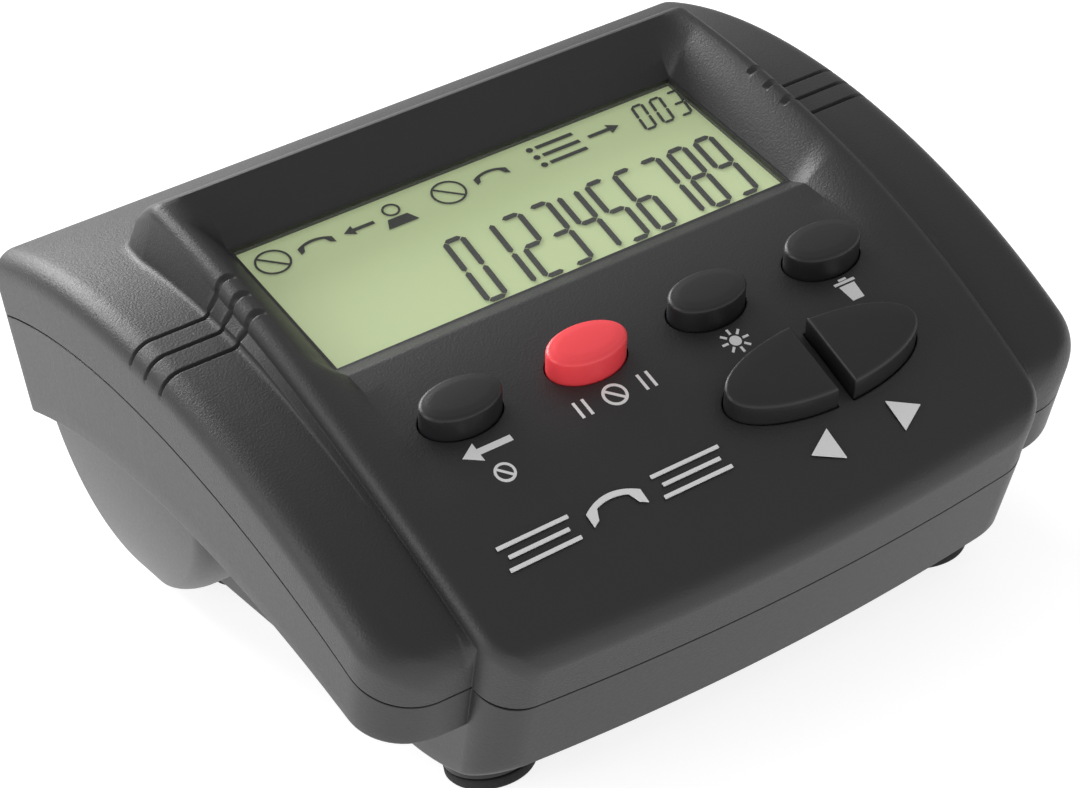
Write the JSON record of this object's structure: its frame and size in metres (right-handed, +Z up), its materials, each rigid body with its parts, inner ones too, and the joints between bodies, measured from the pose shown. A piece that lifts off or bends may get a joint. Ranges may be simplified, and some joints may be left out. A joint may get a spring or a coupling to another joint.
{
  "type": "telephone call screener",
  "caption": "Desk telephone call screener: sloped housing on a tub base, wide liquid crystal display under a hood, oval push keys, a split rocker-shaped key pair and two line sockets behind.",
  "frame": {"origin": "middle of the footprint, on the desk", "axes": "+X to the right seen from the front, +Y to the back, +Z up; the sloped deck with the keys faces -Y and up"},
  "size_m": [0.1154, 0.1044, 0.0654],
  "materials": {
    "charcoal_abs": "fine satin grain",
    "black_key": "satin",
    "red_key": "semi gloss",
    "clear_lens": "clear, polished",
    "display_glass": "grey-green liquid crystal glass",
    "white_plastic": "matte",
    "black_rubber": "matte",
    "grey_rubber": "matte",
    "green_board": "semi matte circuit board",
    "screw_steel": "plain steel",
    "chip_black": "matte",
    "coil_yellow": "taped coil",
    "part_blue": "sleeved"
  },
  "bodies": {
    "housing": {"upper_shell": "charcoal_abs", "lower_shell": "charcoal_abs", "display_lens": "clear_lens", "lcd_glass": "display_glass", "backlight_plate": "white_plastic", "zebra_strip_front": "grey_rubber", "zebra_strip_rear": "grey_rubber", "lcd_bezel": "white_plastic", "keypad_mat": "grey_rubber", "key_board": "green_board", "key_board_screw_1": "screw_steel", "key_board_screw_2": "screw_steel", "key_board_screw_3": "screw_steel", "key_board_screw_4": "screw_steel", "ribbon_cable": "white_plastic", "main_board": "green_board", "main_board_screw_1": "screw_steel", "main_board_screw_2": "screw_steel", "main_board_screw_3": "screw_steel", "main_board_screw_4": "screw_steel", "line_jack": "chip_black", "phone_jack": "chip_black", "line_transformer": "coil_yellow", "hook_relay": "chip_black", "processor_chip": "chip_black", "caller_id_chip": "chip_black", "crystal_can": "screw_steel", "capacitor_1": "part_blue", "capacitor_2": "part_blue", "capacitor_3": "part_blue", "surge_varistor": "part_blue", "case_screw_1": "screw_steel", "case_screw_2": "screw_steel", "case_screw_3": "screw_steel", "case_screw_4": "screw_steel", "foot_front_left": "black_rubber", "foot_front_right": "black_rubber", "foot_rear_left": "black_rubber", "foot_rear_right": "black_rubber"},
    "key_1": {"key_1": "black_key"},
    "key_2": {"key_2": "red_key"},
    "key_3": {"key_3": "black_key"},
    "key_4": {"key_4": "black_key"},
    "key_left": {"key_left": "black_key"},
    "key_right": {"key_right": "black_key"}
  },
  "joints": [
    {"name": "key_1_press", "type": "slide", "parent": "housing", "child": "key_1", "axis": [0, 0.309, -0.9511], "range_m": [0, 0.0012], "stiffness_N_per_m": 450, "springref_m": -0.0004, "deforming": ["keypad_mat"]},
    {"name": "key_2_press", "type": "slide", "parent": "housing", "child": "key_2", "axis": [0, 0.309, -0.9511], "range_m": [0, 0.0012], "stiffness_N_per_m": 450, "springref_m": -0.0004, "deforming": ["keypad_mat"]},
    {"name": "key_3_press", "type": "slide", "parent": "housing", "child": "key_3", "axis": [0, 0.309, -0.9511], "range_m": [0, 0.0012], "stiffness_N_per_m": 450, "springref_m": -0.0004, "deforming": ["keypad_mat"]},
    {"name": "key_4_press", "type": "slide", "parent": "housing", "child": "key_4", "axis": [0, 0.309, -0.9511], "range_m": [0, 0.0012], "stiffness_N_per_m": 450, "springref_m": -0.0004, "deforming": ["keypad_mat"]},
    {"name": "key_left_press", "type": "slide", "parent": "housing", "child": "key_left", "axis": [0, 0.309, -0.9511], "range_m": [0, 0.0012], "stiffness_N_per_m": 450, "springref_m": -0.0004, "deforming": ["keypad_mat"]},
    {"name": "key_right_press", "type": "slide", "parent": "housing", "child": "key_right", "axis": [0, 0.309, -0.9511], "range_m": [0, 0.0012], "stiffness_N_per_m": 450, "springref_m": -0.0004, "deforming": ["keypad_mat"]}
  ]
}
